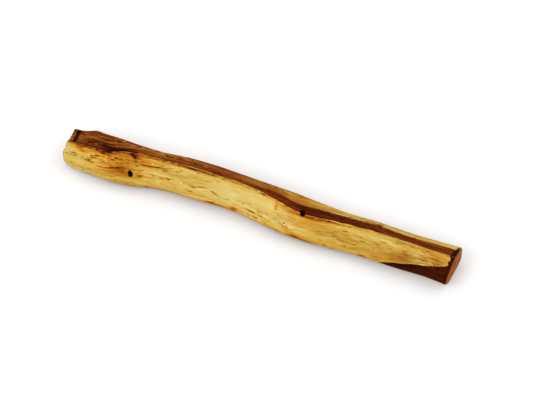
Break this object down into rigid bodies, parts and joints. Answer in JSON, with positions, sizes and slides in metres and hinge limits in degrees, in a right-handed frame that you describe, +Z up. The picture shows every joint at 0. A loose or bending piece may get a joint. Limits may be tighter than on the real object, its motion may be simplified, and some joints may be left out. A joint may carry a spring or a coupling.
{
  "type": "palo santo stick",
  "caption": "Slender hand-split stick of aromatic wood with wavy long edges, a broad pale face, a dark heartwood top and cut ends, lying on its flat underside.",
  "frame": {"origin": "bottom centre of the stick's box, on the surface it lies on", "axes": "+X along the grain, from the scooped end to the end sawn square; +Y towards the back; +Z up"},
  "size_m": [0.1001, 0.011, 0.0084],
  "materials": {
    "wood": "raw split wood, matte, dark red-brown heartwood on top"
  },
  "bodies": {
    "root": {"stick": "wood"}
  },
  "joints": []
}
